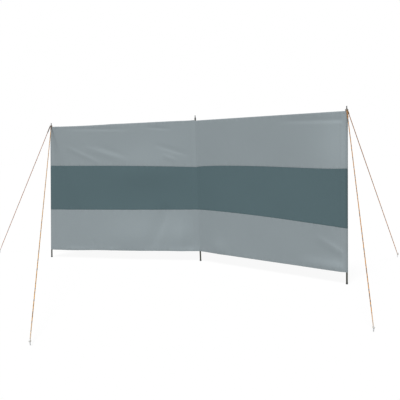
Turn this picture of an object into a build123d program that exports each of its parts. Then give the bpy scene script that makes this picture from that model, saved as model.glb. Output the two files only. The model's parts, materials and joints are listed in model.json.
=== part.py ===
"""A camping windbreak of two cloth bays on three poles, stayed by four guy ropes.

The frame: the origin is the middle of the middle pole's flat foot, at ground level. +X runs along the
windbreak from the left pole to the right one, +Z is up, and the two bays fold forward, towards -Y.
Lengths are in millimetres and angles in degrees. Everything ends at ground level.
"""

import os
from math import acos, atan2, cos, hypot, radians, sin, sqrt

from build123d import *

# Layout of the poles
bay_width = 1800  # from pole to pole along the ground, but for the inset below
right_foot_inset = 10  # the right pole's foot stands this much nearer to the middle
bend_angle = 28  # how far one bay turns from the line of the other
left_pole_lean = 3.2  # the left pole leans towards the middle one
right_pole_lean = -0.5  # the right pole leans a little away from it
middle_pole_lean = 0.43  # the middle pole leans a little to the left, along X
middle_pole_rise = 13  # how much further the middle pole stands up out of the cloth than the others

# Cloth
cloth_height = 1400
ground_gap = 100  # from the ground to the foot of the cloth's height, along the pole
cloth_thickness = 1.5
hem_height = 22  # the cloth is doubled this far along its free edges
# How far up the cloth's height its lower edge and two seams lie at each pole
left_lower_edge_share = -0.007
left_lower_seam_share = 0.327
left_upper_seam_share = 0.685
middle_lower_edge_share = 0.006
middle_lower_seam_share = 0.327
middle_upper_seam_share = 0.65
right_lower_edge_share = 0.004
right_lower_seam_share = 0.281
right_upper_seam_share = 0.65

# Pole tubes
pole_diameter = 16
pole_wall = 1

# Pole sleeves
sleeve_clearance = 0.4  # all round the pole
sleeve_tail = 55  # from the pole's middle to the seam that closes the sleeve

# Pole tips
plug_clearance = 0.15  # all round the plugs inside the tube
tip_plug_depth = 25
tip_collar_diameter = 17
tip_collar_height = 2.5
tip_cone_height = 3
tip_pin_diameter = 9
tip_pin_height = 22
tip_pin_chamfer = 2

# Pole feet
foot_diameter = 19
foot_height = 14
foot_plug_depth = 30
foot_chamfer = 1.5

# Guy ropes
rope_diameter = 5  # across the flats of a section with a few sides
rope_sides = 8
rope_clearance = 0.3  # between a rope and the pole or a neighbouring rope
knot_diameter = 9
loop_gap = 0.8  # between one rope's knot and the loop of the rope below it

# Where each peg stands: how far from its pole's foot, and which way from +X
left_back_reach = 840
left_back_bearing_angle = 181
left_front_reach = 3220
left_front_bearing_angle = -48.5
right_back_reach = 1378
right_back_bearing_angle = 85
right_front_reach = 1340
right_front_bearing_angle = -65.6

# Pegs
peg_diameter = 6
peg_clearance = 0.5  # between a peg and the rope round it
peg_lean_limit = 15  # a peg stands square to its rope, but leans no further than this
peg_loop_height = 32  # from the ground to the rope's loop, along the peg
peg_shaft_rise = 6  # from the loop to the start of the hook
hook_radius = 8
hook_end_length = 10
hook_end_chamfer = 1

# Sizes that follow
half_bend = radians(bend_angle / 2)
left_lean = radians(left_pole_lean)
right_lean = radians(right_pole_lean)
middle_lean = radians(middle_pole_lean)
seen_half_bend = atan2(sin(half_bend), cos(half_bend) * cos(middle_lean))  # as seen along the middle pole
pole_radius = pole_diameter / 2
plug_radius = pole_radius - pole_wall - plug_clearance
sleeve_inner_radius = pole_radius + sleeve_clearance
sleeve_radius = sleeve_inner_radius + cloth_thickness
cloth_front = -sleeve_radius
cloth_back = cloth_front + cloth_thickness
cloth_top = ground_gap + cloth_height
rope_radius = rope_diameter / 2
knot_radius = knot_diameter / 2
knot_room = knot_radius + rope_clearance
loop_radius = pole_radius + rope_clearance + rope_radius
knot_offset = pole_radius + knot_room
collar_radius = tip_collar_diameter / 2
peg_radius = peg_diameter / 2
peg_loop_radius = peg_radius + peg_clearance + rope_radius
peg_knot_offset = peg_radius + knot_room
below_ground = foot_diameter  # what is built below the ground before it is cut off there


def clear_height(room, sideways):
    """How far apart in height two round things lie that need this room and lie this far apart sideways."""
    return sqrt(max(0, room**2 - sideways**2))


# The two loops on an end pole lie one above the other, clear of the sleeve, each other and the tip
loop_room = rope_radius + rope_clearance
lower_loop = max(loop_room, knot_room)
loop_spacing = clear_height(knot_radius + loop_gap + rope_radius, knot_offset - loop_radius)
upper_loop = lower_loop + loop_spacing
bare_height = upper_loop + max(loop_room, clear_height(knot_room, knot_offset - collar_radius))
end_tube_top = cloth_top + bare_height
tube_tops = {"left": end_tube_top, "middle": end_tube_top + middle_pole_rise, "right": end_tube_top}

# Each pole's foot and the way it points
right_way = Vector(cos(half_bend), -sin(half_bend), 0)
left_way = Vector(-cos(half_bend), -sin(half_bend), 0)
upright = Vector(0, 0, 1)
rightward = Vector(1, 0, 0)
right_bay_width = bay_width - right_foot_inset
pole_feet = {"left": left_way * bay_width, "middle": Vector(0, 0, 0), "right": right_way * right_bay_width}
pole_axes = {
    "left": upright * cos(left_lean) - left_way * sin(left_lean),
    "middle": upright * cos(middle_lean) - rightward * sin(middle_lean),
    "right": upright * cos(right_lean) - right_way * sin(right_lean),
}

edge_shares = {
    "left": (left_lower_edge_share, left_lower_seam_share, left_upper_seam_share),
    "middle": (middle_lower_edge_share, middle_lower_seam_share, middle_upper_seam_share),
    "right": (right_lower_edge_share, right_lower_seam_share, right_upper_seam_share),
}

# Each bay runs from its left pole to its right pole
bay_ends = {"left": ("left", "middle"), "right": ("middle", "right")}
bay_ways = {"left": -left_way, "right": right_way}
band_names = ("lower_band", "stripe", "upper_band")
sleeve_names = ("sleeve_lower", "sleeve_stripe", "sleeve_upper")

# Each rope's peg, by its distance from the pole's foot and its bearing
peg_places = {
    "left_back": (left_back_reach, left_back_bearing_angle),
    "left_front": (left_front_reach, left_front_bearing_angle),
    "right_back": (right_back_reach, right_back_bearing_angle),
    "right_front": (right_front_reach, right_front_bearing_angle),
}


def band_levels(pole):
    """The heights along a pole of the cloth's lower edge, two seams and top edge."""
    return [ground_gap + share * cloth_height for share in (*edge_shares[pole], 1)]


def square_to(pole, way):
    """The way nearest to this one that is square to a pole."""
    axis = pole_axes[pole]
    return (way - axis * way.dot(axis)).normalized()


def across(pole, bay):
    """The way along a bay that is square to a pole."""
    return square_to(pole, bay_ways[bay])


def pole_plane(pole, height=0):
    """The plane square to a pole at a height along it, with y towards the back."""
    bay = "right" if pole == "right" else "left"
    x_way = square_to(pole, rightward) if pole == "middle" else across(pole, bay)
    return Plane(pole_feet[pole] + pole_axes[pole] * height, x_dir=x_way, z_dir=pole_axes[pole])


def profile_plane(pole):
    """The plane along a pole for turned pieces, with y up the pole."""
    flat = pole_plane(pole)
    return Plane(flat.origin, x_dir=flat.x_dir, z_dir=-flat.y_dir)


def pole_axis(pole):
    return Axis(pole_feet[pole], pole_axes[pole])


def export(piece, name):
    piece.part.label = name
    export_step(piece.part, "parts/" + name + ".step")


def make_tube(pole):
    with BuildPart() as tube:
        with BuildSketch(pole_plane(pole, foot_height)):
            Circle(pole_radius)
            Circle(pole_radius - pole_wall, mode=Mode.SUBTRACT)
        extrude(amount=tube_tops[pole] - foot_height)
    return tube


def make_tip(pole):
    """A turned plug whose pin stands above the tube."""
    tube_top = tube_tops[pole]
    collar_top = tube_top + tip_collar_height
    pin_base = collar_top + tip_cone_height
    pin_top = pin_base + tip_pin_height
    pin_radius = tip_pin_diameter / 2
    with BuildPart() as tip:
        with BuildSketch(profile_plane(pole)):
            with BuildLine():
                Polyline(
                    (0, pin_top),
                    (0, tube_top - tip_plug_depth),
                    (plug_radius, tube_top - tip_plug_depth),
                    (plug_radius, tube_top),
                    (collar_radius, tube_top),
                    (collar_radius, collar_top),
                    (pin_radius, pin_base),
                    (pin_radius, pin_top - tip_pin_chamfer),
                    (pin_radius - tip_pin_chamfer, pin_top),
                    close=True,
                )
            make_face()
        revolve(axis=pole_axis(pole))
    return tip


def make_foot(pole):
    """A plug with a collar, cut off flat at ground level."""
    foot_radius = foot_diameter / 2
    with BuildPart() as foot:
        with BuildSketch(profile_plane(pole)):
            with BuildLine():
                Polyline(
                    (0, -below_ground),
                    (foot_radius, -below_ground),
                    (foot_radius, foot_height - foot_chamfer),
                    (foot_radius - foot_chamfer, foot_height),
                    (plug_radius, foot_height),
                    (plug_radius, foot_height + foot_plug_depth),
                    (0, foot_height + foot_plug_depth),
                    close=True,
                )
            make_face()
        revolve(axis=pole_axis(pole))
        split(bisect_by=Plane.XY, keep=Keep.TOP)
    return foot


def sleeve_angle():
    """Where the sleeve's back wall leaves its curve round the pole, from the way of the bay."""
    down_to_seam = atan2(cloth_back, sleeve_tail)
    return down_to_seam + acos(sleeve_radius / hypot(sleeve_tail, cloth_back))


def on_circle(radius, angle, side):
    """A point on a circle round the pole; side is 1 where the bay lies towards +x and -1 where towards -x."""
    return (side * radius * cos(angle), radius * sin(angle))


def turned(point, angle):
    """A point turned about the pole."""
    x, y = point
    return (x * cos(angle) - y * sin(angle), x * sin(angle) + y * cos(angle))


def hollow_point(side):
    """The sharp end of the sleeve's hollow, where its two walls meet."""
    angle = sleeve_angle()
    return (side * sleeve_inner_radius * (1 + sin(angle)) / cos(angle), -sleeve_inner_radius)


def end_sleeve_walls(side):
    """The outer and inner outlines of a cloth channel round an end pole, each with a point of its curve."""
    leave = sleeve_angle()
    halfway = (leave + radians(270)) / 2
    outer = [
        on_circle(sleeve_radius, leave, side),
        (side * sleeve_tail, cloth_back),
        (side * sleeve_tail, cloth_front),
        (0, cloth_front),
    ]
    inner = [on_circle(sleeve_inner_radius, leave, side), hollow_point(side), (0, cloth_back)]
    return (
        (outer, on_circle(sleeve_radius, halfway, side)),
        (inner, on_circle(sleeve_inner_radius, halfway, side)),
    )


def middle_sleeve_walls():
    """The same at the bend, where the cloth creases in front and a strip bulges round the pole behind."""
    leave = sleeve_angle()
    outer = [
        turned(on_circle(sleeve_radius, leave, 1), -seen_half_bend),
        turned((sleeve_tail, cloth_back), -seen_half_bend),
        turned((sleeve_tail, cloth_front), -seen_half_bend),
        (0, cloth_front / cos(seen_half_bend)),
        turned((-sleeve_tail, cloth_front), seen_half_bend),
        turned((-sleeve_tail, cloth_back), seen_half_bend),
        turned(on_circle(sleeve_radius, leave, -1), seen_half_bend),
    ]
    inner = [
        turned(on_circle(sleeve_inner_radius, leave, 1), -seen_half_bend),
        turned(hollow_point(1), -seen_half_bend),
        (0, cloth_back / cos(seen_half_bend)),
        turned(hollow_point(-1), seen_half_bend),
        turned(on_circle(sleeve_inner_radius, leave, -1), seen_half_bend),
    ]
    return (outer, (0, sleeve_radius)), (inner, (0, sleeve_inner_radius))


def make_sleeve(pole, low, high):
    """A length of pole sleeve from one height along the pole to another, flat in front."""
    if pole == "middle":
        outer, inner = middle_sleeve_walls()
    else:
        outer, inner = end_sleeve_walls(1 if pole == "left" else -1)
    with BuildPart() as sleeve:
        with BuildSketch(pole_plane(pole, low)):
            for (corners, bulge), mode in ((outer, Mode.ADD), (inner, Mode.SUBTRACT)):
                with BuildLine():
                    Polyline(*corners)
                    ThreePointArc(corners[-1], bulge, corners[0])
                make_face(mode=mode)
        extrude(amount=high - low)
    return sleeve


def band_plane(bay, end):
    """The plane of a band's end at the sleeve's seam, with x towards the back and y up the pole."""
    pole = bay_ends[bay][end]
    way = across(pole, bay)
    inward = way if end == 0 else -way
    axis = pole_axes[pole]
    return Plane(pole_feet[pole] + inward * sleeve_tail, x_dir=axis.cross(way), z_dir=way)


def make_band(bay, row):
    """A band of cloth between two sleeves. The free edge of the outer bands is folded back as a hem."""
    with BuildPart() as band:
        for end in (0, 1):
            levels = band_levels(bay_ends[bay][end])
            low = levels[row]
            high = levels[row + 1]
            hem_back = cloth_back + cloth_thickness
            hem_low = low + hem_height
            hem_high = high - hem_height
            outline = [(cloth_front, low), (cloth_front, high), (cloth_back, high), (cloth_back, low)]
            if band_names[row] == "upper_band":
                outline[2:3] = [(hem_back, high), (hem_back, hem_high), (cloth_back, hem_high)]
            if band_names[row] == "lower_band":
                outline[3:4] = [(cloth_back, hem_low), (hem_back, hem_low), (hem_back, low)]
            with BuildSketch(band_plane(bay, end)):
                with BuildLine():
                    Polyline(*outline, close=True)
                make_face()
        loft(ruled=True)
    return band


def rope_layout(rope):
    """Where a rope's loops and knots lie at its pole and at its peg."""
    pole, place = rope.split("_")
    reach, bearing_angle = peg_places[rope]
    away = rightward.rotate(Axis.Z, bearing_angle)
    stake = pole_feet[pole] + away * reach
    loop = pole_plane(pole, cloth_top + (upper_loop if place == "back" else lower_loop))
    outward = square_to(pole, away)
    knot = loop.origin + outward * knot_offset
    # The peg leans away from the pole
    to_knot = knot - stake
    peg_lean = min(atan2(to_knot.Z, -to_knot.dot(away)), radians(peg_lean_limit))
    shaft_way = upright * cos(peg_lean) + away * sin(peg_lean)
    hook_way = away * cos(peg_lean) - upright * sin(peg_lean)
    peg_loop = Plane(stake + shaft_way * peg_loop_height, x_dir=hook_way, z_dir=shaft_way)
    return {
        "loops": ((loop, loop_radius), (peg_loop, peg_loop_radius)),
        "knots": (knot, peg_loop.origin - hook_way * peg_knot_offset),
        "shaft": Plane(peg_loop.origin, x_dir=hook_way, z_dir=hook_way.cross(shaft_way)),
    }


def make_rope(layout):
    """A guy rope between its knots, with a loop round the pole and another round the peg."""
    top_knot, peg_knot = layout["knots"]
    run = peg_knot - top_knot
    knot_planes = [Plane(knot, x_dir=upright.cross(run), z_dir=run) for knot in (top_knot, peg_knot)]
    with BuildPart() as rope:
        with BuildSketch(knot_planes[0]):
            RegularPolygon(rope_radius, rope_sides, major_radius=False, rotation=180 / rope_sides)
        extrude(amount=run.length)
        for loop, radius in layout["loops"]:
            with BuildSketch(Plane(loop.origin, x_dir=loop.x_dir, z_dir=-loop.y_dir)):
                with Locations((radius, 0)):
                    RegularPolygon(rope_radius, rope_sides, major_radius=False, rotation=180 / rope_sides)
            revolve(axis=Axis(loop.origin, loop.z_dir))
        with Locations(*knot_planes):
            Sphere(knot_radius)
    return rope


def make_peg(layout):
    """A bent wire peg. Its hook turns away from the rope, and it is cut off at ground level."""
    bend_start = (0, peg_shaft_rise)
    bend_top = (hook_radius, peg_shaft_rise + hook_radius)
    bend_end = (2 * hook_radius, peg_shaft_rise)
    with BuildPart() as peg:
        with BuildLine(layout["shaft"]) as path:
            Line((0, -peg_loop_height - below_ground), bend_start)
            ThreePointArc(bend_start, bend_top, bend_end)
            Line(bend_end, (2 * hook_radius, peg_shaft_rise - hook_end_length))
        with BuildSketch(Plane(path.line @ 0, z_dir=path.line % 0)):
            Circle(peg_radius)
        sweep(path=path.line)
        end_face = peg.faces().sort_by_distance(path.line @ 1)[0]
        chamfer(end_face.edges(), hook_end_chamfer)
        split(bisect_by=Plane.XY, keep=Keep.TOP)
    return peg


os.makedirs("parts", exist_ok=True)

for pole in ("left", "middle", "right"):
    export(make_tube(pole), pole + "_pole")
    export(make_tip(pole), pole + "_pole_tip")
    export(make_foot(pole), pole + "_pole_foot")
    levels = band_levels(pole)
    for row, name in enumerate(sleeve_names):
        export(make_sleeve(pole, levels[row], levels[row + 1]), pole + "_" + name)

for bay in ("left", "right"):
    for row, name in enumerate(band_names):
        export(make_band(bay, row), bay + "_" + name)

for rope in peg_places:
    layout = rope_layout(rope)
    export(make_rope(layout), rope + "_rope")
    export(make_peg(layout), rope + "_peg")
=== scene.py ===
"""Dresses the windbreak: sewn cloth on its poles, stitches, braided guy ropes and the finish of each piece.

Lengths are in metres and angles in degrees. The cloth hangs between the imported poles, and each place on it is
given by its bay, its share of the way along that bay and its height along the poles.
"""

import json
from math import acos, asin, atan2, cos, hypot, pi, radians, sin, tan

import bpy
import numpy as np
from mathutils import Matrix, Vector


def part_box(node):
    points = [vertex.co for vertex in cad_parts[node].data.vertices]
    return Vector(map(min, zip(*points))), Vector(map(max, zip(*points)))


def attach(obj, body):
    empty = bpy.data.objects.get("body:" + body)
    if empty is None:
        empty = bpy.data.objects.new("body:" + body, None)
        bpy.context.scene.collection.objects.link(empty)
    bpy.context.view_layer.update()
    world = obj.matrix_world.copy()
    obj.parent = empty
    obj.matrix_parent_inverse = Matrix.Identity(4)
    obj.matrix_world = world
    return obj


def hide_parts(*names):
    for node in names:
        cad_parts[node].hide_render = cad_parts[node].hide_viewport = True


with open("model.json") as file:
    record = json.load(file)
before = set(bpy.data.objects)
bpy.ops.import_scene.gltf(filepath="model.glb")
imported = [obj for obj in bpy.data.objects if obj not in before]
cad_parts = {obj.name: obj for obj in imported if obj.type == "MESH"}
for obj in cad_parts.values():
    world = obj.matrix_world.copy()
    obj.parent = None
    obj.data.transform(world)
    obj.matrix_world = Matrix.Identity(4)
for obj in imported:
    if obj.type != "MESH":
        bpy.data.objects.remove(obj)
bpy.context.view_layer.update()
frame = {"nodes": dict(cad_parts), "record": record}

# Cloth
cloth_thickness = 0.0005
cloth_room = 0.00115  # from a pole's surface to the middle of the cloth round it
layer_step = 0.00075  # from one layer of cloth to the next
sleeve_tail = 0.055  # from a pole's middle to the seam that closes its sleeve
seam_allowance = 0.010  # the cloth goes on this far past a sleeve's seam
seam_lap = 0.012  # the band below a seam goes up this far behind the band above
lap_slope = 0.006  # over which it steps back
hem_height = 0.022
thick_seam_fade = 0.015  # over which a sleeve comes back in above and below a seam
column_spacing = 0.009
row_spacing = 0.0095
hem_row_rises = (0.001, 0.005, 0.010, 0.016)  # rows of a hem, from its fold
fold_overshoot = 0.0002  # a fold stands this far past the cloth's edge
seam_row_rise = 0.002  # the first row above a seam
crease_column_gaps = (0.0015, 0.004)  # columns beside the crease before the middle pole
turn_column_angle = 11  # from one column round a pole to the next
least_turn_columns = 4
flap_column_count = 3
wall_column_count = 8
measured_column_step = 10  # a piece's flat width is measured at each tenth column

# Seams and edges that bow upwards: bay, number from the lower edge up, how far it rises, the power that moves
# the top of its bow along the bay and the share of the way along at which the bow ends
seam_bows = (
    ("left", 0, 0.0035, 1, 1),
    ("left", 0, -0.004, 1, 0.3),
    ("left", 2, 0.008, 1.4, 1),
    ("left", 3, 0.004, 5, 1),
    ("left", 3, 0.005, 60, 1),
    ("left", 3, -0.0048, 1, 0.45),
    ("right", 1, 0.016, 0.85, 1),
    ("right", 2, 0.018, 0.62, 0.9),
    ("right", 2, -0.003, 4, 1),
)

# The wind presses the cloth towards the front
left_belly = 0.022
right_belly = 0.010
bulge_start = 0.03  # the belly and the bulges begin this far from a pole
bulge_fade = 0.2
fold_start = 0.012
fold_fade = 0.05

# Broad bulges: bay, share of the way along it, share of the height, half width, half height and how far
# they stand out
cloth_bulges = (
    ("left", 0.60, 0.08, 0.36, 0.20, 0.024),
    ("left", 0.90, 0.09, 0.13, 0.17, 0.017),
    ("left", 0.68, 0.64, 0.36, 0.20, 0.018),
    ("right", 0.165, 0.04, 0.10, 0.09, 0.009),
)

# Folds: bay, then along and up shares of both ends, half width and how far they stand out
fold_lee_share = 1.8  # a fold is this much wider on the side that faces down
fold_taper_power = 0.8  # below 1, a fold keeps its height further towards its ends
cloth_folds = (
    ("left", 0.10, 0.842, 0.37, 0.690, 0.018, 0.0036),
    ("left", 0.24, 0.829, 0.57, 0.700, 0.025, 0.0046),
    ("left", 0.32, 0.842, 0.56, 0.735, 0.020, -0.0020),
    ("left", 0.73, 0.828, 0.95, 0.740, 0.018, -0.0036),
    ("left", 0.78, 0.750, 0.88, 0.700, 0.016, 0.0032),
    ("left", 0.08, 0.977, 0.60, 0.950, 0.013, -0.0030),
    ("left", 0.67, 0.962, 0.85, 0.943, 0.012, -0.0028),
    ("left", 0.815, 0.360, 0.685, -0.010, 0.050, -0.0090),
    ("left", 0.10, -0.005, 0.31, -0.005, 0.026, 0.0040),
    ("left", 0.300, 0.085, 0.325, -0.005, 0.016, -0.0030),
    ("left", 0.39, 0.000, 0.49, 0.000, 0.028, 0.0030),
    ("left", 0.80, 0.000, 1.08, 0.005, 0.030, 0.0045),
    ("right", 0.60, 0.958, 1.25, 0.938, 0.017, -0.0045),
    ("right", 0.82, 0.215, 1.15, 0.020, 0.026, 0.0060),
    ("right", 0.72, 0.030, 1.22, 0.010, 0.050, 0.0120),
)

# Patches painted paler or darker: band, bay, share of the way along it, share of the height, half width, half
# height and how much paler they are, or darker below zero. The first three are painted light by the right pole,
# the two thin ones on the top hem are painted highlights and the last four are painted shade in narrow lines
# along the end sleeves
cloth_tone_and_light_patches = (
    # Painted light by the right pole
    ("upper", "right", 1.0, 0.85, 0.30, 0.40, 0.19),
    ("lower", "right", 1.0, 0.06, 0.16, 0.13, 0.08),
    ("lower", "right", 0.98, 0.22, 0.11, 0.10, 0.05),
    ("upper", "left", 0.08, 0.85, 0.22, 0.20, -0.02),
    # Painted highlights along the top hem
    ("upper", "left", 0.45, 0.99, 0.75, 0.013, 0.06),
    ("upper", "right", 0.20, 0.99, 0.45, 0.013, 0.07),
    ("stripe", "left", 0.20, 0.50, 0.50, 0.40, -0.03),
    ("stripe", "right", 0.50, 0.48, 1.00, 0.40, 0.02),
    ("lower", "left", 0.75, 0.02, 0.50, 0.05, 0.05),
    ("lower", "left", 0.86, 0.20, 0.25, 0.14, 0.03),
    ("lower", "left", 1.0, 0.20, 0.06, 0.25, -0.04),
    # Painted shade along the end sleeves
    ("upper", "left", 0.0, 0.85, 0.007, 0.60, -0.14),
    ("upper", "right", 1.0, 0.85, 0.007, 0.60, -0.15),
    ("stripe", "right", 1.0, 0.50, 0.007, 0.60, -0.20),
    ("lower", "right", 1.0, 0.15, 0.007, 0.60, -0.11),
)
# Painted shade where the cloth has turned behind a pole
sleeve_painted_shade = 0.4  # how much darker the cloth is where it has turned behind a pole

# Puckers along the hems and seams
pucker_depth = 0.0007
pucker_reach = 0.028
pucker_lengths = (0.043, 0.071, 0.118)
pucker_starts = (0.4, 2.1, 4.7)

# Stitches
stitch_pitch = 0.006
stitch_length = 0.0042
stitch_width = 0.0009
seam_stitch_rises = (0.003, 0.009)
hem_stitch_rise = 0.019
sleeve_stitch_tails = (0.055, 0.061)

# Guy ropes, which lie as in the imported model. The braid is a little thicker than its plain solid
rope_radius = 0.0032
loop_line_radius = 0.0028  # the ropes are pulled thinner round the poles and pegs
upper_loop = 0.01234  # from the cloth's top edge to the loop of a rope to the back
lower_loop = 0.0048
loop_radius = 0.0111
knot_offset = 0.0128
peg_loop_radius = 0.0062
peg_knot_offset = 0.0078
peg_loop_height = 0.032
peg_lean_limit = 15
rope_ring_spacing = 0.0016
rope_sides = 16
braid_strands = 5
braid_length = 0.0085
braid_height = 0.0003
knot_bite = 0.0002  # how far a knot's turns sink into the rope they are wound round
knot_pitch_share = 1.2  # from one turn of a knot to the next, in diameters of its line
peg_knot_start = -0.0042  # where a knot starts along its rope, from the loop's end
peg_knot_end = 0.0042
peg_knot_radius = 0.0013

# The ropes' ends are wound round them below the poles' loops: start and end of each knot, radius of its line
pole_knots = {
    "left_back": (0.0, 0.09, 0.0013),
    "left_front": (0.004, 0.095, 0.0014),
    "right_back": (0.0, 0.05, 0.0013),
    "right_front": (0.006, 0.084, 0.0019),
}
coil_corners = 8
route_steps = 12

# Light and view
sun_strength = 3.0
sun_soft_angle = 20
sun_from = (0.09, -0.42, 0.90)
sky_strength = 0.31
floor_shade = 0.6  # as the windbreak sees it
floor_seen_shade = 0.07  # as the camera sees it, for a faint shadow
floor_fill = 0.92  # what the camera sees on top of that
floor_size = 60
camera_place = (3.34794, -5.62634, 1.28652)
camera_heading_angle = 30.634
camera_pitch_angle = -5.479
camera_roll_angle = -1.818
camera_lens = 55.4955
camera_sensor = 36

# Colours, as sRGB out of 255
light_cloth_colour = (145, 155, 159)
dark_cloth_colour = (84, 105, 110)
light_thread_colour = (124, 133, 136)
dark_thread_colour = (74, 93, 98)
tube_colour = (46, 49, 37)
tip_colour = (72, 74, 74)
foot_colour = (44, 46, 45)
# One rope in four colours: the right back one is painted lighter, as the lamp shines along it and lights it
# little
rope_colours = {
    "left_back": (222, 126, 18),
    "left_front": (226, 162, 38),
    "right_back": (255, 160, 18),  # the lamp shines along this one
    "right_front": (220, 150, 34),
}
knot_colours = {
    "left_back": (140, 112, 92),
    "left_front": (112, 84, 64),
    "right_back": (176, 132, 88),
    "right_front": (208, 158, 104),
}
tracer_colour = (104, 72, 42)
worn_rope_colour = (178, 172, 163)  # the loops round the poles
worn_tracer_colour = (136, 130, 122)
pale_rope_colour = (238, 230, 218)  # where the ropes are bleached, at the pegs
pale_tracer_colour = (206, 198, 186)
peg_colour = (216, 218, 219)
bleach_height = 0.13  # the ropes are bleached from the ground up to this height
top_darkening = 0.25  # how much darker the ropes are at the poles

up = np.array([0.0, 0.0, 1.0])
scene = bpy.context.scene


def unit(way):
    return way / np.linalg.norm(way)


def ease(share):
    """A smooth step from 0 to 1."""
    held = np.clip(share, 0, 1)
    return held * held * (3 - 2 * held)


def linear(colour):
    """An sRGB colour out of 255 as the linear colour that a shader takes."""
    shares = np.array(colour) / 255
    curved = np.where(shares <= 0.04045, shares / 12.92, ((shares + 0.055) / 1.055) ** 2.4)
    return (*curved.tolist(), 1)


# The poles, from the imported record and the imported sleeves
mounts = {mount["name"]: mount for mount in frame["record"]["mounts"]}
pole_names = ("left", "middle", "right")
band_names = ("lower", "stripe", "upper")
bays = ("left", "right")
bay_ends = {"left": ("left", "middle"), "right": ("middle", "right")}


def mount_place(name):
    return np.array(mounts[name]["pos_m"])


def node_points(node):
    """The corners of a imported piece."""
    corners = frame["nodes"][node].data.vertices
    places = np.empty(3 * len(corners))
    corners.foreach_get("co", places)
    return places.reshape(-1, 3)


pole_feet = {pole: mount_place(pole + "_foot") for pole in pole_names}
pole_axes = {pole: unit(np.array(mounts[pole + "_pin"]["axis"])) for pole in pole_names}


def read_levels(pole):
    """The heights along a pole of the cloth's lower edge, two seams and top edge."""
    foot = pole_feet[pole]
    axis = pole_axes[pole]
    spans = [(node_points(f"{pole}_sleeve_{band}") - foot) @ axis for band in band_names]
    return [spans[0].min(), spans[1].min(), spans[2].min(), spans[2].max()]


cloth_levels = {pole: read_levels(pole) for pole in pole_names}
cloth_low = cloth_levels["middle"][0]
cloth_top = cloth_levels["middle"][3]
middle_pole_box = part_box("middle_pole")
pole_radius = (middle_pole_box[1][1] - middle_pole_box[0][1]) / 2  # across the way it leans
cloth_radius = pole_radius + cloth_room
right_way = unit(pole_feet["right"])
half_bend = asin(-right_way[1])
bellies = {"left": left_belly, "right": right_belly}
bay_widths = {
    bay: np.linalg.norm(pole_feet[last] - pole_feet[first]) for bay, (first, last) in bay_ends.items()
}


# Cloth columns stand side by side across the windbreak. Each keeps its bay, its share of the way along it,
# how far it lies past that share, how far behind the poles, the way to its inner face and how far it is a
# sleeve's flap
column_form = np.dtype(
    [
        ("bay", int),
        ("share", float),
        ("along", float),
        ("out", float),
        ("inward_x", float),
        ("inward_y", float),
        ("flap", float),
    ]
)


def front_column(bay, share, along):
    return (bays.index(bay), share, along, -cloth_radius, 0, 1, 0)


def sleeve_wall():
    """The place behind the cloth where a sleeve closes, and the angle at which its wall leaves the pole."""
    seam_out = layer_step - cloth_radius
    leave = atan2(seam_out, sleeve_tail) + acos(cloth_radius / hypot(sleeve_tail, seam_out))
    return seam_out, leave


def flap_column(bay, share, side, tail):
    """A column of the flap that lies behind the cloth at a sleeve's seam."""
    seam_out, _ = sleeve_wall()
    return (bays.index(bay), share, side * tail, seam_out, 0, -1, 1)


def wrap_columns(bay, share, side, last_angle):
    """Columns from a sleeve's raw edge along its wall and round its pole, as far as an angle."""
    seam_out, leave = sleeve_wall()
    wall_start = np.array([sleeve_tail, seam_out])
    wall_end = cloth_radius * np.array([cos(leave), sin(leave)])
    number = bays.index(bay)
    gaps = np.linspace(seam_allowance, 0, flap_column_count)
    columns = [flap_column(bay, share, side, sleeve_tail + gap) for gap in gaps]
    for step in np.linspace(0, 1, wall_column_count)[1:-1]:
        along, out = wall_start + (wall_end - wall_start) * step
        columns.append((number, share, side * along, out, -side * cos(leave), -sin(leave), 1 - step))
    turn_columns = max(least_turn_columns, round(abs(last_angle - leave) / radians(turn_column_angle)))
    for angle in np.linspace(leave, last_angle, turn_columns):
        along, out = cloth_radius * cos(angle), cloth_radius * sin(angle)
        columns.append((number, share, side * along, out, -side * cos(angle), -sin(angle), 0))
    return columns


def front_columns(bay):
    """Columns of a bay's flat front. The two bays meet in a crease before the middle pole."""
    crease = cloth_radius * tan(half_bend)
    first_inset, last_inset = (0, crease) if bay == "left" else (crease, 0)
    shares = np.linspace(0, 1, round(bay_widths[bay] / column_spacing))
    columns = [front_column(bay, share, first_inset * (1 - share) - last_inset * share) for share in shares]
    if bay == "left":
        return columns[1:-1] + [front_column(bay, 1, -crease - gap) for gap in (*crease_column_gaps[::-1], 0)]
    return [front_column(bay, 0, crease + gap) for gap in crease_column_gaps] + columns[1:-1]


def main_columns():
    """All columns of a band, from the raw edge at the left pole to the raw edge at the right one."""
    left = wrap_columns("left", 0, 1, 3 * pi / 2)
    right = wrap_columns("right", 1, -1, 3 * pi / 2)
    return np.array(left + front_columns("left") + front_columns("right") + right[::-1], dtype=column_form)


def strip_columns():
    """All columns of the strip that holds the middle pole behind the cloth."""
    left = wrap_columns("left", 1, -1, pi / 2 + half_bend)
    right = wrap_columns("right", 0, 1, pi / 2 + half_bend)
    return np.array(left + right[-2::-1], dtype=column_form)


def shares_along(columns):
    """How far along its bay each column lies, as a share."""
    widths = np.array([bay_widths[bay] for bay in bays])[columns["bay"]]
    return np.clip(columns["share"] + columns["along"] / widths, 0, 1)


def edge_heights(columns, edge):
    """The height of one of the cloth's four edges and seams at each column."""
    shares = shares_along(columns)
    heights = np.empty(len(columns))
    for number, bay in enumerate(bays):
        mine = columns["bay"] == number
        first, last = bay_ends[bay]
        start = cloth_levels[first][edge]
        heights[mine] = start + (cloth_levels[last][edge] - start) * shares[mine]
        for bowed_bay, seam, rise, power, end in seam_bows:
            if (bowed_bay, seam) == (bay, edge):
                heights[mine] += rise * np.sin(pi * np.clip(shares[mine] / end, 0, 1) ** power)
    return heights


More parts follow.
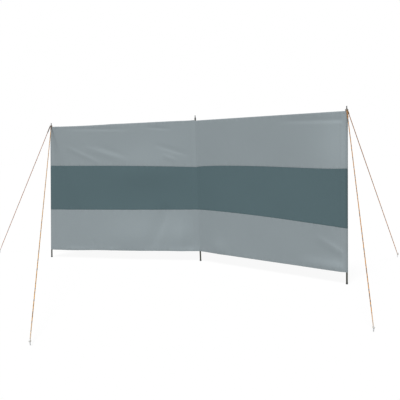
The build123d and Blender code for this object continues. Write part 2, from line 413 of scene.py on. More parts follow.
def fold_relief(along, height, width, fold):
    """One fold, highest halfway along it."""
    _, first_share, first_rise, last_share, last_rise, half_width, stand = fold
    span = cloth_top - cloth_low
    start = np.array([first_share * width, cloth_low + first_rise * span])
    end = np.array([last_share * width, cloth_low + last_rise * span])
    length = np.linalg.norm(end - start)
    way = (end - start) / length
    passed = (along - start[0]) * way[0] + (height - start[1]) * way[1]
    aside = (along - start[0]) * way[1] - (height - start[1]) * way[0]
    taper = np.sin(pi * np.clip(passed / length, 0, 1)) ** fold_taper_power
    reach = np.where(aside * stand * way[0] > 0, fold_lee_share * half_width, half_width)
    return stand * taper * np.exp(-((aside / reach) ** 2))


def clear_of_poles(along, span, start, fade):
    """0 by the poles, rising to 1 between them."""
    return ease((along - start) / fade) * ease((span - start - along) / fade)


def cloth_relief(bay, along, height, span, edges):
    """How far the cloth of a bay stands forward of its plane."""
    width = bay_widths[bay]
    scaled = along * width / span
    share = along / span
    rise = (height - cloth_low) / (cloth_top - cloth_low)
    broad = bellies[bay] * np.sin(pi * np.clip(share, 0, 1))
    for place, middle, level, half_width, half_height, stand in cloth_bulges:
        if place == bay:
            across = (scaled - middle * width) / half_width
            upward = (rise - level) * (cloth_top - cloth_low) / half_height
            broad = broad + stand * np.exp(-(across**2) - upward**2)
    fine = sum(fold_relief(scaled, height, width, fold) for fold in cloth_folds if fold[0] == bay)
    waves = sum(
        np.sin(2 * pi * scaled / length + start) for length, start in zip(pucker_lengths, pucker_starts)
    )
    nearness = sum(np.exp(-(((height - edge[:, None]) / pucker_reach) ** 2)) for edge in edges)
    fine = fine + pucker_depth * waves * nearness
    broad_window = clear_of_poles(along, span, bulge_start, bulge_fade)
    return broad * broad_window + fine * clear_of_poles(along, span, fold_start, fold_fade)


def cloth_tone_and_light(band, columns, heights):
    """How much paler or darker a band is painted than its dye at each place, painted light and shade included.
    """
    shares = shares_along(columns)
    # Painted shade on the cloth that has turned behind a pole
    turned = (1 - columns["inward_y"]) / 2 * (1 - columns["flap"])
    fade = np.broadcast_to(-sleeve_painted_shade * turned[:, None], heights.shape).copy()
    for band_name, bay, middle, level, half_width, half_height, amount in cloth_tone_and_light_patches:
        if band_name == band_names[band]:
            mine = columns["bay"] == bays.index(bay)
            across = (shares[mine][:, None] - middle) * bay_widths[bay] / half_width
            upward = (heights[mine] - cloth_low - level * (cloth_top - cloth_low)) / half_height
            fade[mine] += amount * np.exp(-(across**2) - upward**2)
    return fade


def thick_zone(heights, edges):
    """1 where hems and laps make the cloth double, fading to 0 above and below."""
    low, lower_seam, upper_seam, top = (edge[:, None] for edge in edges)
    spans = (
        (low, low + hem_height),
        (lower_seam - lap_slope, lower_seam + seam_lap),
        (upper_seam - lap_slope, upper_seam + seam_lap),
        (top - hem_height, top),
    )
    zone = np.zeros(heights.shape)
    for start, end in spans:
        outside = np.maximum(start - heights, heights - end)
        zone = np.maximum(zone, 1 - ease(outside / thick_seam_fade))
    return zone


def cloth_points(columns, heights, depth):
    """The places of the cloth's columns at these heights, this deep behind its front layer."""
    edges = [edge_heights(columns, edge) for edge in range(4)]
    flap_lift = 2 * layer_step * thick_zone(heights, edges) * columns["flap"][:, None]
    deep = depth - flap_lift
    places = np.empty((*heights.shape, 3))
    for number, bay in enumerate(bays):
        mine = columns["bay"] == number
        first, last = bay_ends[bay]
        height = heights[mine]
        first_places = pole_feet[first] + pole_axes[first] * height[..., None]
        last_places = pole_feet[last] + pole_axes[last] * height[..., None]
        span = np.linalg.norm(last_places - first_places, axis=-1)
        way = (last_places - first_places) / span[..., None]
        back = unit(np.cross(up, pole_feet[last] - pole_feet[first]))
        along = columns["along"][mine][:, None] + columns["share"][mine][:, None] * span
        relief = cloth_relief(bay, along, height, span, [edge[mine] for edge in edges])
        sideways = along + columns["inward_x"][mine][:, None] * deep[mine]
        backward = columns["out"][mine][:, None] + columns["inward_y"][mine][:, None] * deep[mine] - relief
        places[mine] = first_places + way * sideways[..., None] + back * backward[..., None]
    return places


def band_rows(band):
    """The rows of a band from its lower edge up: share of its height, rise past that and depth."""
    low = cloth_levels["middle"][band]
    high = cloth_levels["middle"][band + 1]
    steps = round((high - low) / row_spacing)
    rows = []
    if band == 0:
        rows += [(0, rise, layer_step) for rise in (hem_height, *hem_row_rises[::-1])]
        rows += [(0, -fold_overshoot, layer_step / 2)]
        rows += [(0, hem_row_rises[0], 0)]
    else:
        rows += [(0, 0, 0), (0, seam_row_rise, 0)]
    rows += [(step / steps, 0, 0) for step in range(1, steps)]
    if band == 2:
        rows += [(1, -hem_row_rises[0], 0), (1, fold_overshoot, layer_step / 2)]
        rows += [(1, -fall, layer_step) for fall in (*hem_row_rises, hem_height)]
    else:
        rows += [(1, -lap_slope, 0), (1, -lap_slope / 4, layer_step), (1, seam_lap / 2, layer_step)]
        rows += [(1, seam_lap, layer_step)]
    return np.array(rows)


def lengths_along(places):
    """How far along a line of places each of them lies."""
    steps = np.linalg.norm(np.diff(places, axis=0), axis=1)
    return np.concatenate([[0], np.cumsum(steps)])


def link(name, data):
    piece = bpy.data.objects.new(name, data)
    scene.collection.objects.link(piece)
    return piece


def make_cloth(name, columns, band, finish):
    """A sewn piece of cloth with a map of its flat cut, its hems folded behind it. Gives its cut as well."""
    rows = band_rows(band)
    low = edge_heights(columns, band)[:, None]
    high = edge_heights(columns, band + 1)[:, None]
    heights = low + (high - low) * rows[:, 0] + rows[:, 1]
    depth = np.broadcast_to(rows[:, 2], heights.shape)
    places = cloth_points(columns, heights, depth)
    wide, tall = heights.shape
    corners = np.arange(wide * tall).reshape(wide, tall)
    faces = np.stack([corners[:-1, :-1], corners[1:, :-1], corners[1:, 1:], corners[:-1, 1:]], axis=-1)
    mesh = bpy.data.meshes.new(name)
    mesh.from_pydata(places.reshape(-1, 3).tolist(), [], faces.reshape(-1, 4).tolist())
    flat_x = lengths_along(places[:, tall // 2])
    flat_y = lengths_along(places[wide // 3])
    flat = np.stack(np.meshgrid(flat_x, flat_y, indexing="ij"), axis=-1).reshape(-1, 2)
    corner_numbers = np.empty(len(mesh.loops), dtype=int)
    mesh.loops.foreach_get("vertex_index", corner_numbers)
    cut_map = mesh.uv_layers.new(name="flat_cut")
    cut_map.data.foreach_set("uv", flat[corner_numbers].ravel())
    # The fade value holds painted light and shade along with the paler and darker patches
    fade = mesh.attributes.new("fade", "FLOAT", "POINT")
    fade.data.foreach_set("value", cloth_tone_and_light(band, columns, heights).ravel())
    mesh.shade_smooth()
    mesh.materials.append(finish)
    area = sum(face.area for face in mesh.polygons)
    piece = link(name, mesh)
    solidify = piece.modifiers.new("thickness", "SOLIDIFY")
    solidify.thickness = cloth_thickness
    solidify.offset = 0
    length = max(lengths_along(places[:, row])[-1] for row in range(tall))
    width = max(lengths_along(places[column])[-1] for column in range(0, wide, measured_column_step))
    return piece, (width, length), min(area, width * length)


# Node trees
def add(tree, kind, **settings):
    """A new node with its settings."""
    node = tree.nodes.new(kind)
    for name, value in settings.items():
        setattr(node, name, value)
    return node


def put(tree, socket, value):
    """Sets a socket to a value, or wires another socket to it."""
    if isinstance(value, bpy.types.NodeSocket):
        tree.links.new(value, socket)
    else:
        socket.default_value = value


def maths(tree, operation, *values):
    node = add(tree, "ShaderNodeMath", operation=operation)
    for socket, value in zip(node.inputs, values):
        put(tree, socket, value)
    return node.outputs[0]


def new_tree(name, sizes):
    """A geometry node tree with a named input for each size, and its input and output nodes."""
    tree = bpy.data.node_groups.new(name, "GeometryNodeTree")
    tree.interface.new_socket("Geometry", in_out="INPUT", socket_type="NodeSocketGeometry")
    for size, kind in sizes.items():
        tree.interface.new_socket(size, in_out="INPUT", socket_type=kind)
    tree.interface.new_socket("Geometry", in_out="OUTPUT", socket_type="NodeSocketGeometry")
    return tree, add(tree, "NodeGroupInput").outputs, add(tree, "NodeGroupOutput").inputs


def finish_tree(tree, geometry, finish, output):
    """Ends a tree with smooth, realised geometry in its finish."""
    smooth = add(tree, "GeometryNodeSetShadeSmooth")
    realized = add(tree, "GeometryNodeRealizeInstances")
    painted = add(tree, "GeometryNodeSetMaterial")
    put(tree, smooth.inputs["Geometry"], geometry)
    put(tree, realized.inputs["Geometry"], smooth.outputs["Geometry"])
    put(tree, painted.inputs["Geometry"], realized.outputs["Geometry"])
    put(tree, painted.inputs["Material"], finish)
    put(tree, output["Geometry"], painted.outputs["Geometry"])


def make_stitch_tree():
    """Sets a thread stitch at each pitch along the lines of a mesh."""
    sizes = {
        "Pitch": "NodeSocketFloat",
        "Length": "NodeSocketFloat",
        "Width": "NodeSocketFloat",
        "Thread": "NodeSocketMaterial",
    }
    tree, given, output = new_tree("stitch_rows", sizes)
    line = add(tree, "GeometryNodeMeshToCurve")
    put(tree, line.inputs["Mesh"], given["Geometry"])
    places = add(tree, "GeometryNodeCurveToPoints", mode="LENGTH")
    put(tree, places.inputs["Curve"], line.outputs["Curve"])
    put(tree, places.inputs["Length"], given["Pitch"])
    turn = add(tree, "FunctionNodeAlignRotationToVector", axis="Z")
    put(tree, turn.inputs["Vector"], places.outputs["Tangent"])
    stitch = add(tree, "GeometryNodeMeshIcoSphere")
    put(tree, stitch.inputs["Radius"], 0.5)
    put(tree, stitch.inputs["Subdivisions"], 1)
    scale = add(tree, "ShaderNodeCombineXYZ")
    put(tree, scale.inputs["X"], given["Width"])
    put(tree, scale.inputs["Y"], given["Width"])
    put(tree, scale.inputs["Z"], given["Length"])
    stitches = add(tree, "GeometryNodeInstanceOnPoints")
    put(tree, stitches.inputs["Points"], places.outputs["Points"])
    put(tree, stitches.inputs["Instance"], stitch.outputs["Mesh"])
    put(tree, stitches.inputs["Rotation"], turn.outputs["Rotation"])
    put(tree, stitches.inputs["Scale"], scale.outputs["Vector"])
    finish_tree(tree, stitches.outputs["Instances"], given["Thread"], output)
    return tree


def keep(tree, geometry, name, value):
    """Keeps a value under a name on each point."""
    store = add(tree, "GeometryNodeStoreNamedAttribute", data_type="FLOAT", domain="POINT")
    put(tree, store.inputs["Geometry"], geometry)
    put(tree, store.inputs["Name"], name)
    put(tree, store.inputs["Value"], value)
    return store.outputs["Geometry"]


def make_rope_tree():
    """A braided rope along the lines of a mesh, which keeps its places along and around for the finish."""
    sizes = {
        "Radius": "NodeSocketFloat",
        "Ring spacing": "NodeSocketFloat",
        "Sides": "NodeSocketInt",
        "Strands": "NodeSocketFloat",
        "Braid length": "NodeSocketFloat",
        "Braid height": "NodeSocketFloat",
        "Rope": "NodeSocketMaterial",
    }
    tree, given, output = new_tree("braided_rope", sizes)
    line = add(tree, "GeometryNodeMeshToCurve")
    put(tree, line.inputs["Mesh"], given["Geometry"])
    rings = add(tree, "GeometryNodeResampleCurve", mode="LENGTH")
    put(tree, rings.inputs["Curve"], line.outputs["Curve"])
    put(tree, rings.inputs["Length"], given["Ring spacing"])
    circle = add(tree, "GeometryNodeCurvePrimitiveCircle", mode="RADIUS")
    put(tree, circle.inputs["Resolution"], given["Sides"])
    put(tree, circle.inputs["Radius"], given["Radius"])
    place = add(tree, "GeometryNodeSplineParameter")
    rope_line = keep(tree, rings.outputs["Curve"], "along", place.outputs["Length"])
    section = keep(tree, circle.outputs["Curve"], "around", place.outputs["Factor"])
    tube = add(tree, "GeometryNodeCurveToMesh")
    put(tree, tube.inputs["Curve"], rope_line)
    put(tree, tube.inputs["Profile Curve"], section)
    put(tree, tube.inputs["Fill Caps"], True)
    along = add(tree, "GeometryNodeInputNamedAttribute", data_type="FLOAT")
    put(tree, along.inputs["Name"], "along")
    around = add(tree, "GeometryNodeInputNamedAttribute", data_type="FLOAT")
    put(tree, around.inputs["Name"], "around")
    turns = maths(tree, "DIVIDE", along.outputs["Attribute"], given["Braid length"])
    lengthwise = maths(tree, "COSINE", maths(tree, "MULTIPLY", turns, 2 * pi))
    strand = maths(tree, "MULTIPLY", around.outputs["Attribute"], given["Strands"])
    roundwise = maths(tree, "COSINE", maths(tree, "MULTIPLY", strand, 2 * pi))
    relief = maths(tree, "MULTIPLY", lengthwise, roundwise)
    angle = maths(tree, "MULTIPLY", around.outputs["Attribute"], 2 * pi)
    surface = keep(tree, tube.outputs["Mesh"], "relief", relief)
    surface = keep(tree, surface, "side_x", maths(tree, "COSINE", angle))
    surface = keep(tree, surface, "side_y", maths(tree, "SINE", angle))
    normal = add(tree, "GeometryNodeInputNormal")
    push = add(tree, "ShaderNodeVectorMath", operation="SCALE")
    put(tree, push.inputs["Vector"], normal.outputs["Normal"])
    put(tree, push.inputs["Scale"], maths(tree, "MULTIPLY", relief, given["Braid height"]))
    braid = add(tree, "GeometryNodeSetPosition")
    put(tree, braid.inputs["Geometry"], surface)
    put(tree, braid.inputs["Offset"], push.outputs["Vector"])
    finish_tree(tree, braid.outputs["Geometry"], given["Rope"], output)
    return tree


def grow(name, mesh, tree, sizes):
    """A piece that a node tree makes on the lines of a mesh, as a plain mesh."""
    piece = link(name, mesh)
    nodes = piece.modifiers.new("nodes", "NODES")
    nodes.node_group = tree
    for socket in tree.interface.items_tree:
        if socket.in_out == "INPUT" and socket.name in sizes:
            nodes[socket.identifier] = sizes[socket.name]
    graph = bpy.context.evaluated_depsgraph_get()
    grown = bpy.data.meshes.new_from_object(
        piece.evaluated_get(graph), preserve_all_data_layers=True, depsgraph=graph
    )
    piece.modifiers.remove(nodes)
    piece.data = grown
    grown.name = name
    bpy.data.meshes.remove(mesh)
    return piece


# Finishes
def new_finish(name):
    finish = bpy.data.materials.new(name)
    finish.use_nodes = True
    tree = finish.node_tree
    return finish, tree, tree.nodes["Principled BSDF"].inputs


def noise(tree, where, scale, detail):
    node = add(tree, "ShaderNodeTexNoise")
    put(tree, node.inputs["Vector"], where)
    put(tree, node.inputs["Scale"], scale)
    put(tree, node.inputs["Detail"], detail)
    return node.outputs[0]


def stretched(tree, where, scale):
    """The same places with each way scaled."""
    node = add(tree, "ShaderNodeMapping")
    put(tree, node.inputs["Vector"], where)
    put(tree, node.inputs["Scale"], scale)
    return node.outputs["Vector"]


def spread(tree, value, low, high):
    """A value from 0 to 1 as one from low to high."""
    node = add(tree, "ShaderNodeMapRange")
    put(tree, node.inputs[0], value)
    put(tree, node.inputs[3], low)
    put(tree, node.inputs[4], high)
    return node.outputs[0]


def between(tree, share, first, last):
    """A colour that share of the way from the first colour to the last."""
    node = add(tree, "ShaderNodeMix", data_type="RGBA")
    put(tree, node.inputs[0], share)
    put(tree, node.inputs[6], first)
    put(tree, node.inputs[7], last)
    return node.outputs[2]


def shaded(colour, share):
    """A colour made darker or lighter."""
    red, green, blue, _ = linear(colour)
    return (red * share, green * share, blue * share, 1)


def bump(tree, height, distance, strength):
    node = add(tree, "ShaderNodeBump")
    put(tree, node.inputs["Height"], height)
    put(tree, node.inputs["Distance"], distance)
    put(tree, node.inputs["Strength"], strength)
    return node.outputs["Normal"]


def object_places(tree):
    return add(tree, "ShaderNodeTexCoord").outputs["Object"]


def kept_value(tree, name):
    """A value that the piece keeps on its points."""
    return add(tree, "ShaderNodeAttribute", attribute_name=name).outputs["Fac"]


def cloth_finish(name, colour):
    """A plain-woven coated cloth, a little uneven in tone, with painted light and shade scaled in from its kept
    fade value.
    """
    yarn_pitch = 0.0011
    fading_scale = 2.2
    slub_scale = (30, 700, 1)
    fading_share = 0.6  # of the unevenness, the rest is slubs
    yarn_shade_share = 0.12
    finish, tree, shader = new_finish(name)
    cut = add(tree, "ShaderNodeUVMap", uv_map="flat_cut").outputs["UV"]
    ways = add(tree, "ShaderNodeSeparateXYZ")
    put(tree, ways.inputs[0], cut)
    warp = maths(tree, "SINE", maths(tree, "MULTIPLY", ways.outputs["X"], pi / yarn_pitch))
    weft = maths(tree, "SINE", maths(tree, "MULTIPLY", ways.outputs["Y"], pi / yarn_pitch))
    weave = spread(tree, maths(tree, "MULTIPLY", warp, weft), 0.5, 1)
    fading = noise(tree, cut, fading_scale, 4)
    slubs = noise(tree, stretched(tree, cut, slub_scale), 1, 2)
    broad = maths(tree, "MULTIPLY", fading, fading_share)
    uneven = maths(tree, "ADD", broad, maths(tree, "MULTIPLY", slubs, 1 - fading_share))
    worn = between(tree, uneven, shaded(colour, 0.93), shaded(colour, 1.07))
    woven = between(tree, spread(tree, weave, 0, yarn_shade_share), worn, shaded(colour, 0.8))
    # Painted light and shade, with the paler and darker patches, scale the colour here
    with_painted_light_and_patches = add(tree, "ShaderNodeVectorMath", operation="SCALE")
    put(tree, with_painted_light_and_patches.inputs["Vector"], woven)
    put(tree, with_painted_light_and_patches.inputs["Scale"], maths(tree, "ADD", kept_value(tree, "fade"), 1))
    put(tree, shader["Base Color"], with_painted_light_and_patches.outputs["Vector"])
    put(tree, shader["Roughness"], spread(tree, slubs, 0.62, 0.82))
    put(tree, shader["Specular IOR Level"], 0.3)
    put(tree, shader["Normal"], bump(tree, weave, 0.0002, 0.35))
    return finish


def thread_finish(name, colour):
    """Twisted thread."""
    fibre_scale = 900
    finish, tree, shader = new_finish(name)
    fibres = noise(tree, object_places(tree), fibre_scale, 2)
    put(tree, shader["Base Color"], between(tree, fibres, shaded(colour, 0.8), shaded(colour, 1.15)))
    put(tree, shader["Roughness"], spread(tree, fibres, 0.6, 0.85))
    return finish


def strand_places(tree, along, around):
    """The middle of the strand that lies on top at each place of a braid, as its places along and around."""
    lengthwise = maths(tree, "DIVIDE", along, braid_length)
    roundwise = maths(tree, "MULTIPLY", around, braid_strands)
    rising = maths(tree, "ROUND", maths(tree, "ADD", lengthwise, roundwise))
    falling = maths(tree, "ROUND", maths(tree, "SUBTRACT", lengthwise, roundwise))
    strand_along = maths(tree, "MULTIPLY", maths(tree, "ADD", rising, falling), braid_length / 2)
    strand_around = maths(tree, "DIVIDE", maths(tree, "SUBTRACT", rising, falling), 2 * braid_strands)
    return strand_along, strand_around


def rope_finish(name, colour, tracer, top_dark_share):
    """Braided rope with uneven flecks of a dark tracer strand and painted shade in the grooves between the
    strands. It is bleached near the ground and darker towards the poles.
    """
    tracer_turn = 0.045
    wanders_per_metre = 16
    wander_reach = 0.9  # in turns
    flecks_per_metre = 30
    fleck_limits = (-4.5, 5.4)  # all strand is tracer at the first, none of it at the last
    fibre_scale = 1400
    # The grooves between the strands get painted shade, up to this share of black; the same black darkens the
    # rope towards the poles
    groove_painted_shade = 0.3
    darkening_black = (0, 0, 0, 1)
    finish, tree, shader = new_finish(name)
    angle = maths(tree, "ARCTAN2", kept_value(tree, "side_y"), kept_value(tree, "side_x"))
    around = maths(tree, "DIVIDE", angle, 2 * pi)
    strand_along, strand_around = strand_places(tree, kept_value(tree, "along"), around)
    wandering = noise(tree, maths(tree, "MULTIPLY", strand_along, wanders_per_metre), 1, 2)
    wander = spread(tree, wandering, -wander_reach, wander_reach)
    turns = maths(tree, "DIVIDE", strand_along, tracer_turn)
    twist = maths(tree, "SUBTRACT", maths(tree, "ADD", strand_around, wander), turns)
    scatter = noise(tree, maths(tree, "MULTIPLY", strand_along, flecks_per_metre), 1, 1)
    fleck_limit = spread(tree, scatter, *fleck_limits)
    side = maths(tree, "COSINE", maths(tree, "MULTIPLY", twist, 2 * pi))
    fleck = maths(tree, "GREATER_THAN", side, fleck_limit)
    where = object_places(tree)
    ways = add(tree, "ShaderNodeSeparateXYZ")
    put(tree, ways.inputs[0], where)
    height = ways.outputs["Z"]
    fibres = noise(tree, where, fibre_scale, 2)
    strand = between(tree, fibres, shaded(colour, 0.85), shaded(colour, 1.12))
    flecked = between(tree, fleck, strand, linear(tracer))
    bleach = spread(tree, maths(tree, "DIVIDE", height, bleach_height), 1, 0)
    bleached = between(tree, bleach, flecked, linear(pale_rope_colour))
    # Painted shade in the grooves between the strands
    groove = spread(tree, kept_value(tree, "relief"), groove_painted_shade, 0)
    grooved = between(tree, groove, bleached, darkening_black)
    # Darker towards the poles
    top_darkness = spread(tree, maths(tree, "DIVIDE", height, cloth_top), 0, top_dark_share)
    put(tree, shader["Base Color"], between(tree, top_darkness, grooved, darkening_black))
    put(tree, shader["Roughness"], spread(tree, fibres, 0.55, 0.8))
    put(tree, shader["Sheen Weight"], 0.8)
    put(tree, shader["Sheen Tint"], linear(colour))
    put(tree, shader["Normal"], bump(tree, fibres, 0.0002, 0.4))
    return finish


def tube_finish(name, colour):
    """Painted steel tube with long scuffs and dust."""
    scuff_scale = (900, 900, 14)
    dust_scale = 9
    finish, tree, shader = new_finish(name)
    where = object_places(tree)
    scuffs = noise(tree, stretched(tree, where, scuff_scale), 1, 3)
    dust = noise(tree, where, dust_scale, 4)
    paint = between(tree, scuffs, shaded(colour, 0.86), shaded(colour, 1.12))
    put(tree, shader["Base Color"], between(tree, spread(tree, dust, 0, 0.25), paint, shaded(colour, 1.35)))
    put(tree, shader["Specular IOR Level"], 0.35)
    put(tree, shader["Roughness"], spread(tree, scuffs, 0.38, 0.6))
    put(tree, shader["Normal"], bump(tree, scuffs, 0.0001, 0.15))
    return finish


def moulded_finish(name, colour):
    """Moulded plastic with a fine grain and handling marks."""
    grain_scale = 1600
    mark_scale = 120
    finish, tree, shader = new_finish(name)
    where = object_places(tree)
    grain = noise(tree, where, grain_scale, 2)
    marks = noise(tree, where, mark_scale, 4)
    put(tree, shader["Base Color"], between(tree, marks, shaded(colour, 0.82), shaded(colour, 1.2)))
    put(tree, shader["Roughness"], spread(tree, marks, 0.42, 0.66))
    put(tree, shader["Normal"], bump(tree, grain, 0.0001, 0.25))
    return finish


def wire_finish(name, colour):
    """Galvanised wire with a spangled grey coat."""
    spangle_scale = 420
    tarnish_scale = 160
    finish, tree, shader = new_finish(name)
    where = object_places(tree)
    spangle = add(tree, "ShaderNodeTexVoronoi")
    put(tree, spangle.inputs["Vector"], where)
    put(tree, spangle.inputs["Scale"], spangle_scale)
    flakes = add(tree, "ShaderNodeSeparateColor")
    put(tree, flakes.inputs[0], spangle.outputs["Color"])
    tarnish = noise(tree, where, tarnish_scale, 4)
    zinc = between(tree, flakes.outputs[0], shaded(colour, 0.8), shaded(colour, 1.1))
    put(tree, shader["Base Color"], between(tree, spread(tree, tarnish, 0, 0.5), zinc, shaded(colour, 0.55)))
    put(tree, shader["Metallic"], 0.6)
    put(tree, shader["Roughness"], spread(tree, flakes.outputs[1], 0.38, 0.6))
    put(tree, shader["Normal"], bump(tree, tarnish, 0.0001, 0.3))
    return finish


light_cloth = cloth_finish("light_grey_cloth", light_cloth_colour)
dark_cloth = cloth_finish("dark_grey_cloth", dark_cloth_colour)
light_thread = thread_finish("light_thread", light_thread_colour)
dark_thread = thread_finish("dark_thread", dark_thread_colour)
guy_ropes = {
    rope: rope_finish(f"{rope}_orange_braid", colour, tracer_colour, top_darkening)
    for rope, colour in rope_colours.items()
}
knot_ropes = {
    rope: rope_finish(f"{rope}_knot_braid", colour, tracer_colour, 0) for rope, colour in knot_colours.items()
}
worn_rope = rope_finish("worn_grey_braid", worn_rope_colour, worn_tracer_colour, 0)
pale_rope = rope_finish("pale_braid", pale_rope_colour, pale_tracer_colour, 0)
node_finishes = {
    "_pole": tube_finish("painted_tube", tube_colour),
    "_pole_tip": moulded_finish("grey_moulded_tip", tip_colour),
    "_pole_foot": moulded_finish("black_moulded_foot", foot_colour),
    "_peg": wire_finish("galvanised_wire", peg_colour),
}
for name, node in frame["nodes"].items():
    for ending, finish in node_finishes.items():
        if name.endswith(ending):
            node.data.materials.clear()
            node.data.materials.append(finish)

# Cloth: three bands round all poles and three strips behind the middle one
band_finishes = (light_cloth, dark_cloth, light_cloth)
band_nodes = ("lower_band", "stripe", "upper_band")
whole_columns = main_columns()
middle_columns = strip_columns()
for band, band_name in enumerate(band_names):
    cloth, cut, area = make_cloth(f"{band_name}_cloth", whole_columns, band, band_finishes[band])
    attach(cloth, "root")
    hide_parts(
        *[f"{bay}_{band_nodes[band]}" for bay in bays],
        *[f"{pole}_sleeve_{band_name}" for pole in ("left", "right")],
    )
    strip, cut, area = make_cloth(f"{band_name}_middle_strip", middle_columns, band, band_finishes[band])
    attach(strip, "root")
    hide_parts(f"middle_sleeve_{band_name}")


# Stitches
def line_mesh(name, lines):
    """A mesh of bare lines."""
    corners = np.concatenate(lines)
    ends = np.cumsum([0] + [len(line) for line in lines])
    edges = [(number, number + 1) for first, last in zip(ends, ends[1:]) for number in range(first, last - 1)]
    mesh = bpy.data.meshes.new(name)
    mesh.from_pydata(corners.tolist(), edges, [])
    return mesh


front_face = -cloth_thickness / 2
back_face = layer_step + cloth_thickness / 2


def level_line(columns, edge, rise, depth):
    """A line of places along the cloth, this far above one of its edges or seams."""
    heights = edge_heights(columns, edge)[:, None] + rise
    return cloth_points(columns, heights, np.full(heights.shape, depth))[:, 0]


def upright_line(column, band):
    """A line of places up one band of the cloth in one column."""
    columns = np.array([column], dtype=column_form)
    low = edge_heights(columns, band)[0] + stitch_length
    high = edge_heights(columns, band + 1)[0] - stitch_length
    heights = np.linspace(low, high, round((high - low) / row_spacing))[None, :]
    return cloth_points(columns, heights, np.full(heights.shape, front_face))[0]


def seam_lines(seam, columns, depth):
    return [level_line(columns, seam, rise, depth) for rise in seam_stitch_rises]


def hem_lines(columns, depth):
    hems = ((0, hem_stitch_rise), (3, -hem_stitch_rise))
    return [level_line(columns, edge, rise, depth) for edge, rise in hems]


def sleeve_lines(bands, on_flap):
    """Lines along the seams that close the sleeves, in front or on the flaps behind."""
    lines = []
    for bay, share, side in (("left", 0, 1), ("left", 1, -1), ("right", 0, 1), ("right", 1, -1)):
        for tail in sleeve_stitch_tails:
            column = flap_column(bay, share, side, tail) if on_flap else front_column(bay, share, side * tail)
            lines += [upright_line(column, band) for band in bands]
    return lines


# Each row of stitches has the colour of the band that it lies on in front
back_hem_lines = hem_lines(whole_columns, back_face) + hem_lines(middle_columns, front_face)
stitch_groups = {
    "front_hem_stitches": (hem_lines(whole_columns, front_face), light_thread),
    "back_hem_stitches": (back_hem_lines, light_thread),
    "front_sleeve_stitches": (sleeve_lines((0, 2), False), light_thread),
    "back_sleeve_stitches": (sleeve_lines((0, 2), True), light_thread),
    "front_stripe_stitches": (sleeve_lines((1,), False), dark_thread),
    "back_stripe_stitches": (sleeve_lines((1,), True), dark_thread),
}
for seam, seam_name, thread in ((1, "lower", dark_thread), (2, "upper", light_thread)):
    back_lines = seam_lines(seam, whole_columns, back_face) + seam_lines(seam, middle_columns, front_face)
    stitch_groups[f"front_{seam_name}_seam_stitches"] = (seam_lines(seam, whole_columns, front_face), thread)
    stitch_groups[f"back_{seam_name}_seam_stitches"] = (back_lines, thread)
stitch_tree = make_stitch_tree()
for name, (lines, thread) in stitch_groups.items():
    stitch_sizes = {"Pitch": stitch_pitch, "Length": stitch_length, "Width": stitch_width, "Thread": thread}
    stitches = grow(name, line_mesh(name + "_lines", lines), stitch_tree, stitch_sizes)
    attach(stitches, "root")


# Guy ropes
def rope_layout(rope):
    """A rope's loops, each with its middle, axis, outward way and radius, and its two knots."""
    pole, place = rope.split("_")
    axis = pole_axes[pole]
    stake = mount_place(rope + "_stake")
    away = unit(stake - pole_feet[pole])
    outward = unit(away - axis * away.dot(axis))
    loop = pole_feet[pole] + axis * (cloth_top + (upper_loop if place == "back" else lower_loop))
    knot = loop + outward * knot_offset
    to_knot = knot - stake
    lean = min(atan2(to_knot[2], -to_knot.dot(away)), radians(peg_lean_limit))
    shaft_way = up * cos(lean) + away * sin(lean)
    hook_way = away * cos(lean) - up * sin(lean)
    peg_loop = stake + shaft_way * peg_loop_height
    loops = [(loop, axis, outward, loop_radius), (peg_loop, shaft_way, -hook_way, peg_loop_radius)]
    return loops, (knot, peg_loop - hook_way * peg_knot_offset)


def loop_route(middle, axis, outward, radius):
    """A closed route round a pole or peg."""
    sideways = np.cross(axis, outward)
    corner_radius = radius / cos(pi / coil_corners)
    angles = np.arange(coil_corners) * 2 * pi / coil_corners
    return [middle + corner_radius * (outward * cos(angle) + sideways * sin(angle)) for angle in angles]


def knot_route(place, way, start, end, line_radius):
    """A coil wound tight round the rope's own line."""
    radius = rope_radius + line_radius - knot_bite
    pitch = 2 * line_radius * knot_pitch_share
    aside = unit(np.cross(up, way))
    across = np.cross(way, aside)
    count = round((end - start) / pitch * coil_corners)
    places = []
    for number, along in enumerate(np.linspace(start, end, count + 1)):
        angle = number * 2 * pi / coil_corners
        places.append(place + way * along + radius * (aside * cos(angle) + across * sin(angle)))
    return places


def spline_mesh(name, routes):
    """A mesh of fine lines that follow a smooth spline along each route."""
    curve = bpy.data.curves.new(name, "CURVE")
    curve.dimensions = "3D"
    for places, closed in routes:
        spline = curve.splines.new("NURBS")
        spline.points.add(len(places) - 1)
        for point, place in zip(spline.points, places):
            point.co = (*place, 1)
        spline.order_u = 3
        spline.use_cyclic_u = closed
        spline.use_endpoint_u = not closed
        spline.resolution_u = route_steps
    carrier = bpy.data.objects.new(name, curve)
    mesh = bpy.data.meshes.new_from_object(carrier)
    bpy.data.objects.remove(carrier)
    bpy.data.curves.remove(curve)
    return mesh


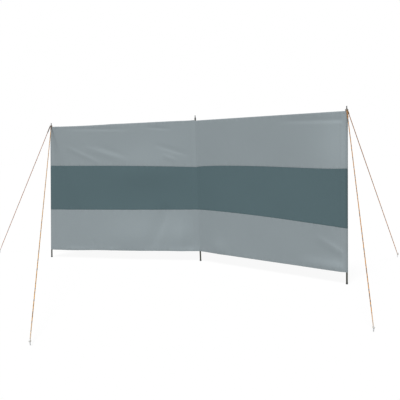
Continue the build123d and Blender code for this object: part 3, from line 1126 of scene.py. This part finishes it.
rope_tree = make_rope_tree()
rope_sizes = {
    "Radius": rope_radius,
    "Ring spacing": rope_ring_spacing,
    "Sides": rope_sides,
    "Strands": float(braid_strands),
    "Braid length": braid_length,
    "Braid height": braid_height,
}
knot_sizes = {**rope_sizes, "Ring spacing": rope_ring_spacing / 2}
pole_loop_routes = []
peg_loop_routes = []
peg_knot_routes = []
for rope, finish in guy_ropes.items():
    (pole_loop, peg_loop), (knot, peg_knot) = rope_layout(rope)
    route = ((knot, peg_knot), False)
    sizes = {**rope_sizes, "Rope": finish}
    piece = grow(f"{rope}_guy_rope", spline_mesh(rope + "_route", [route]), rope_tree, sizes)
    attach(piece, "root")
    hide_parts(rope + "_rope")
    way = unit(peg_knot - knot)
    pole_loop_routes.append((loop_route(*pole_loop), True))
    peg_loop_routes.append((loop_route(*peg_loop), True))
    peg_knot_routes.append((knot_route(peg_knot, way, peg_knot_start, peg_knot_end, peg_knot_radius), False))
    coil = (knot_route(knot, way, *pole_knots[rope]), False)
    sizes = {**knot_sizes, "Radius": pole_knots[rope][2], "Rope": knot_ropes[rope]}
    wound = grow(f"{rope}_wound_knot", spline_mesh(rope + "_coil", [coil]), rope_tree, sizes)
    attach(wound, "root")

for name, routes, sizes in (
    ("pole_rope_loops", pole_loop_routes, {**rope_sizes, "Radius": loop_line_radius, "Rope": worn_rope}),
    ("peg_rope_loops", peg_loop_routes, {**rope_sizes, "Radius": loop_line_radius, "Rope": pale_rope}),
    ("peg_rope_knots", peg_knot_routes, {**knot_sizes, "Radius": peg_knot_radius, "Rope": pale_rope}),
):
    piece = grow(name, spline_mesh(name, routes), rope_tree, sizes)
    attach(piece, "root")


# Floor, light and camera
def background_rays(tree):
    """1 for rays that see the plain background: from the camera, off gloss and through clear pieces."""
    rays = add(tree, "ShaderNodeLightPath").outputs
    seen = maths(tree, "MAXIMUM", rays["Is Camera Ray"], rays["Is Glossy Ray"])
    return maths(tree, "MAXIMUM", seen, rays["Is Transmission Ray"])


def make_floor():
    """A wide pale floor that fades to white and keeps the shadow."""
    half = floor_size / 2
    mesh = bpy.data.meshes.new("floor")
    corners = [(-half, -half, 0), (half, -half, 0), (half, half, 0), (-half, half, 0)]
    mesh.from_pydata(corners, [], [(0, 1, 2, 3)])
    finish = bpy.data.materials.new("pale_floor")
    finish.use_nodes = True
    tree = finish.node_tree
    tree.nodes.remove(tree.nodes["Principled BSDF"])
    matt = add(tree, "ShaderNodeBsdfDiffuse")
    seen = background_rays(tree)
    put(tree, matt.inputs["Color"], spread(tree, seen, floor_shade, floor_seen_shade))
    glow = add(tree, "ShaderNodeEmission")
    put(tree, glow.inputs["Strength"], maths(tree, "MULTIPLY", seen, floor_fill))
    both = add(tree, "ShaderNodeAddShader")
    put(tree, both.inputs[0], matt.outputs[0])
    put(tree, both.inputs[1], glow.outputs[0])
    put(tree, tree.nodes["Material Output"].inputs["Surface"], both.outputs[0])
    mesh.materials.append(finish)
    link("floor", mesh)


def make_light():
    """An even pale sky and a high soft lamp from the front."""
    world = bpy.data.worlds.new("pale_sky")
    scene.world = world
    world.use_nodes = True
    tree = world.node_tree
    sky = tree.nodes["Background"].inputs
    put(tree, sky["Color"], (1, 1, 1, 1))
    seen = background_rays(tree)
    put(tree, sky["Strength"], spread(tree, seen, sky_strength, 1))
    lamp = bpy.data.lights.new("soft_lamp", "SUN")
    lamp.energy = sun_strength
    lamp.angle = radians(sun_soft_angle)
    holder = link("soft_lamp", lamp)
    away = unit(np.array(sun_from))
    sideways = unit(np.cross(up, away))
    upward = np.cross(away, sideways)
    holder.matrix_world = Matrix(np.stack([sideways, upward, away], axis=1).tolist()).to_4x4()


def make_camera():
    view = bpy.data.cameras.new("view")
    view.lens = camera_lens
    view.sensor_width = camera_sensor
    view.clip_end = 2 * floor_size
    camera = link("view", view)
    heading = Matrix.Rotation(radians(camera_heading_angle), 4, "Z")
    pitch = Matrix.Rotation(radians(90 + camera_pitch_angle), 4, "X")
    roll = Matrix.Rotation(radians(camera_roll_angle), 4, "Z")
    camera.matrix_world = Matrix.Translation(camera_place) @ heading @ pitch @ roll
    scene.camera = camera


make_floor()
make_light()
make_camera()
scene.view_settings.view_transform = "Standard"
